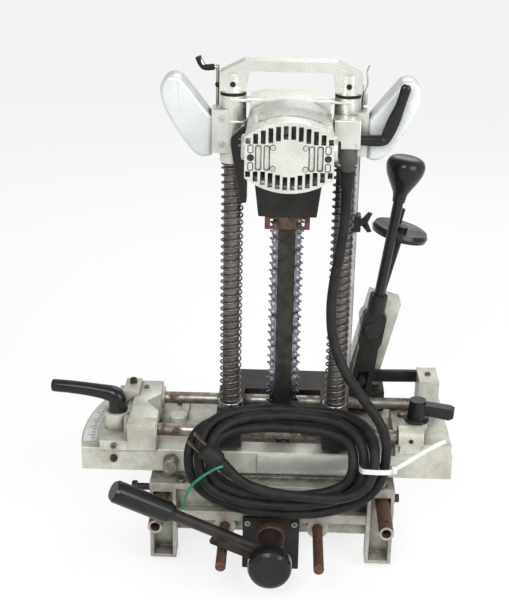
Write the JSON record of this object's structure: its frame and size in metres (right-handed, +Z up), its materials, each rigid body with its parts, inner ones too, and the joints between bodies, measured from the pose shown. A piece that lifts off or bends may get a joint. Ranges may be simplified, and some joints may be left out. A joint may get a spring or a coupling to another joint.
{
  "type": "chain mortiser",
  "caption": "Hand-fed chain mortiser: motor head plunging on two sprung columns over a lever-traversed carriage, swivelling on a base with a timber vise, cord coiled in front.",
  "frame": {"origin": "on the floor under the middle of the machine's overall box, cord left out", "axes": "+X to the right seen from the motor side, +Y away from the motor side, +Z up"},
  "size_m": [0.3986, 0.2608, 0.496],
  "materials": {
    "cast_paint": "silver-cream paint on cast aluminium, chipped and grimy",
    "black_cast": "black paint on cast iron, worn at the edges",
    "black_plastic": "black moulded handles, glossy",
    "bright_steel": "ground steel with light rust",
    "small_screws": "screws with rust in the sockets",
    "spring_steel": "dark oiled spring wire",
    "rusty_steel": "brown rust over steel",
    "chain_steel": "blued bright chain steel",
    "bar_steel": "dark oily bar steel",
    "cord_rubber": "black rubber sheath"
  },
  "bodies": {
    "base": {"base_plate": "cast_paint", "vise_frame": "cast_paint", "rear_jaw": "cast_paint", "thrust_plate": "black_cast", "thrust_plate_screws": "small_screws", "vise_collar": "rusty_steel"},
    "vise_jaw": {"jaw_plate": "cast_paint", "guide_tubes": "rusty_steel", "guide_rods": "rusty_steel"},
    "vise_lever": {"clamp_screw": "bright_steel", "vise_lever": "black_plastic", "vise_grip": "black_plastic"},
    "vise_knob": {"vise_knob": "black_plastic"},
    "traverse_frame": {"left_block": "cast_paint", "right_block": "cast_paint", "traverse_rods": "bright_steel", "reaction_arm": "black_cast", "left_lock_stud": "bright_steel", "right_lock_stud": "bright_steel", "index_screws": "small_screws"},
    "left_lock_lever": {"left_lock_lever": "black_plastic"},
    "right_lock_lever": {"right_lock_lever": "black_plastic"},
    "carriage": {"carriage": "black_cast", "columns": "bright_steel", "spring_collars": "bright_steel", "return_springs": "spring_steel", "carry_handle": "cast_paint", "handle_screws": "small_screws", "lever_bracket": "cast_paint", "lever_pin": "bright_steel", "depth_rod": "bright_steel", "cord_run": "cord_rubber", "cord_coil": "cord_rubber", "cord_plug": "cord_rubber"},
    "stop_block": {"stop_block": "black_cast"},
    "wing_bolt": {"wing_bolt": "black_plastic"},
    "traverse_lever": {"lever_arm": "black_cast", "lever_rod": "bright_steel", "lever_knob": "black_plastic"},
    "lock_wheel": {"lock_spindle": "bright_steel", "lock_wheel": "black_plastic"},
    "head": {"head_frame": "cast_paint", "motor_housing": "cast_paint", "motor_cover": "cast_paint", "cover_screws": "small_screws", "brush_caps": "black_plastic", "switch_box": "cast_paint", "cord_guard": "cord_rubber", "left_grip": "cast_paint", "right_grip": "cast_paint", "cord_hooks": "bright_steel", "chip_deflector": "black_plastic", "chain_cover": "black_cast", "chain_guard": "rusty_steel", "chain_bar": "bar_steel", "chain": "chain_steel"},
    "switch_lever": {"switch_lever": "black_plastic"},
    "armature": {"armature": "bright_steel"},
    "sprocket": {"sprocket": "bright_steel"},
    "tip_roller": {"tip_roller": "bright_steel"}
  },
  "joints": [
    {"name": "swivel", "type": "hinge", "parent": "base", "child": "traverse_frame", "pos_m": [0.025, 0.0194, 0.122], "axis": [0, 0, 1], "range_deg": [-6, 6]},
    {"name": "left_lock_turn", "type": "hinge", "parent": "traverse_frame", "child": "left_lock_lever", "pos_m": [-0.133, 0.0074, 0.152], "axis": [0, 0, 1], "range_deg": [-40, 30]},
    {"name": "right_lock_turn", "type": "hinge", "parent": "traverse_frame", "child": "right_lock_lever", "pos_m": [0.163, 0.0074, 0.15], "axis": [0, 0, 1], "range_deg": [-30, 40]},
    {"name": "carriage_slide", "type": "slide", "parent": "traverse_frame", "child": "carriage", "axis": [1, 0, 0], "range_m": [-0.025, 0.025]},
    {"name": "traverse_lever_swing", "type": "hinge", "parent": "carriage", "child": "traverse_lever", "pos_m": [0.119, 0.0654, 0.221], "axis": [0, 1, 0], "range_deg": [-24, 24]},
    {"name": "lock_wheel_turn", "type": "hinge", "parent": "carriage", "child": "lock_wheel", "pos_m": [0.1055, 0.1014, 0.15], "axis": [0.2334, 0, 0.9724], "range_deg": [-180, 180]},
    {"name": "depth_stop_slide", "type": "slide", "parent": "carriage", "child": "stop_block", "axis": [0, 0, 1], "range_m": [-0.14, 0.03]},
    {"name": "wing_bolt_turn", "type": "hinge", "parent": "stop_block", "child": "wing_bolt", "pos_m": [0.093, 0.0394, 0.34], "axis": [1, 0, 0], "range_deg": [-90, 90]},
    {"name": "head_slide", "type": "slide", "parent": "carriage", "child": "head", "axis": [0, 0, 1], "range_m": [-0.105, 0], "stiffness_N_per_m": 300, "springref_m": 0.35, "deforming": ["return_springs", "cord_run"]},
    {"name": "switch_squeeze", "type": "hinge", "parent": "head", "child": "switch_lever", "pos_m": [0.105, -0.0046, 0.43], "axis": [1, 0, 0], "range_deg": [-6, 0], "stiffness_Nm_per_rad": 0.3, "springref_deg": 11.46},
    {"name": "armature_spin", "type": "hinge", "parent": "head", "child": "armature", "pos_m": [0.03, 0.0194, 0.435], "axis": [0, 1, 0], "continuous": true},
    {"name": "sprocket_spin", "type": "hinge", "parent": "head", "child": "sprocket", "pos_m": [0.03, 0.0194, 0.404], "axis": [0, 1, 0], "continuous": true},
    {"name": "tip_roller_spin", "type": "hinge", "parent": "head", "child": "tip_roller", "pos_m": [0.03, 0.0194, 0.13], "axis": [0, 1, 0], "continuous": true},
    {"name": "vise_lever_turn", "type": "hinge", "parent": "base", "child": "vise_lever", "pos_m": [0.022, -0.0666, 0.04], "axis": [0, 1, 0], "range_deg": [0, 120]},
    {"name": "vise_knob_turn", "type": "hinge", "parent": "vise_lever", "child": "vise_knob", "pos_m": [0.022, -0.0906, 0.04], "axis": [0, 1, 0], "continuous": true},
    {"name": "jaw_slide", "type": "slide", "parent": "base", "child": "vise_jaw", "axis": [0, 1, 0], "range_m": [0, 0.012]}
  ],
  "couplings": [
    {"joint": "traverse_lever_swing", "follows": "carriage_slide", "rad_per_m": 16},
    {"joint": "jaw_slide", "follows": "vise_lever_turn", "m_per_rad": 0.0056818},
    {"joint": "sprocket_spin", "follows": "armature_spin", "ratio": -0.40909},
    {"joint": "tip_roller_spin", "follows": "armature_spin", "ratio": -0.40909}
  ]
}
